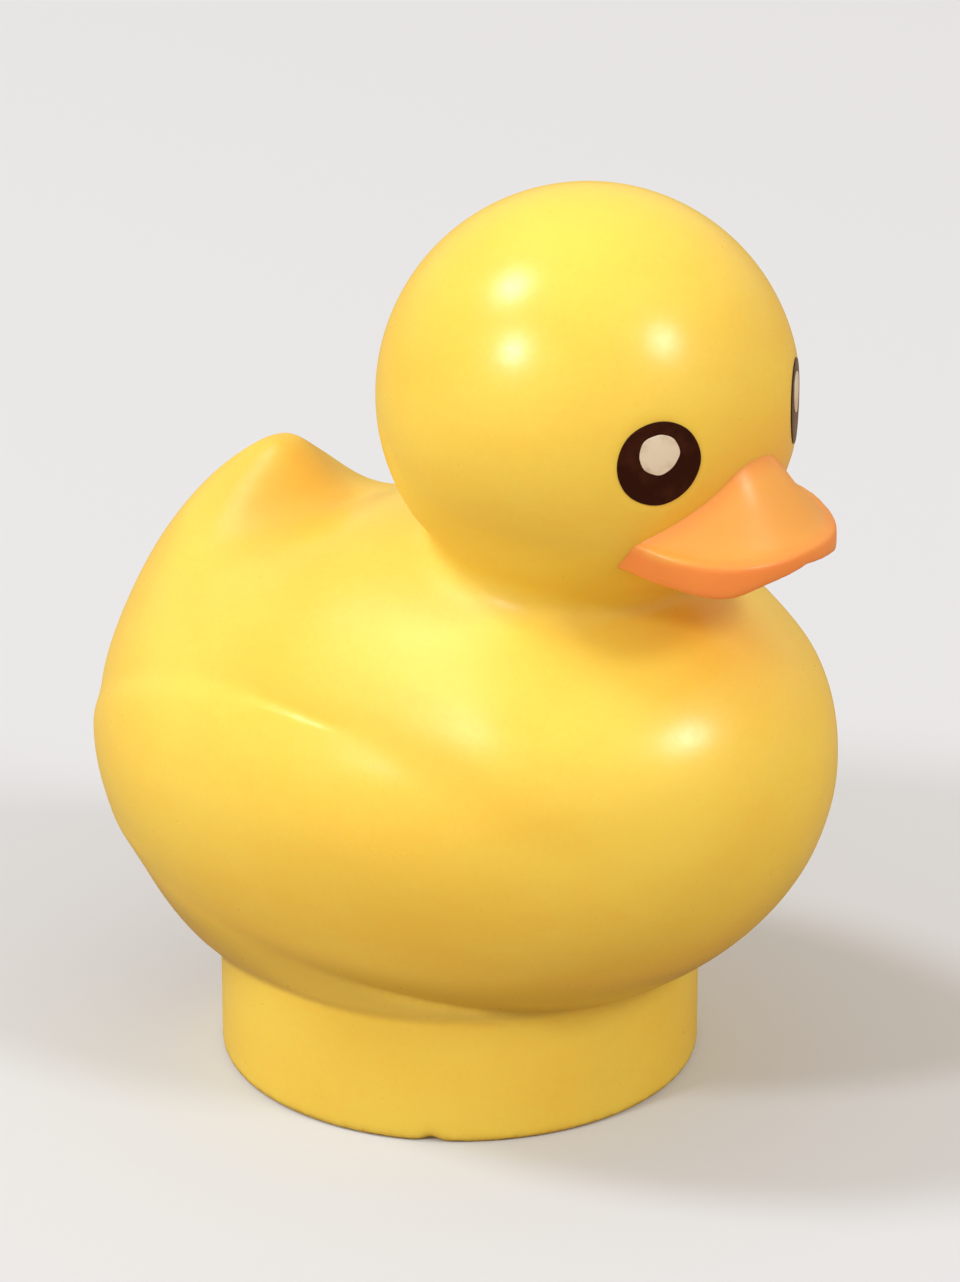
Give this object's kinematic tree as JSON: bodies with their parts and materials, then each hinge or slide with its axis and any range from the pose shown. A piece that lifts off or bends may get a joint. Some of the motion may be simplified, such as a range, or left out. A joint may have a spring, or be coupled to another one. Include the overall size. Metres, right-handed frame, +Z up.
{
  "type": "rubber duck",
  "caption": "Small moulded duck with a ball head, upturned tail, seated bill and printed eyes, standing on a round foot with a plain socket underneath",
  "frame": {"origin": "Middle of the whole duck's box in X and Y, on the plane the foot stands on", "axes": "+Z up, the duck faces -Y, +X is the duck's left; X=0 is its mirror plane"},
  "size_m": [0.01, 0.014, 0.0156],
  "materials": {
    "body_yellow": "semi-gloss moulded, warm yellow, faint flow mottling",
    "bill_orange": "semi-gloss moulded, orange",
    "eye_black": "gloss printed film, brown-black",
    "eye_pale": "printed film, warm white"
  },
  "bodies": {
    "root": {"duck_body": "body_yellow", "bill": "bill_orange", "eye_print_right": "eye_black", "eye_print_left": "eye_black", "eye_spot_right": "eye_pale", "eye_spot_left": "eye_pale"}
  },
  "joints": []
}
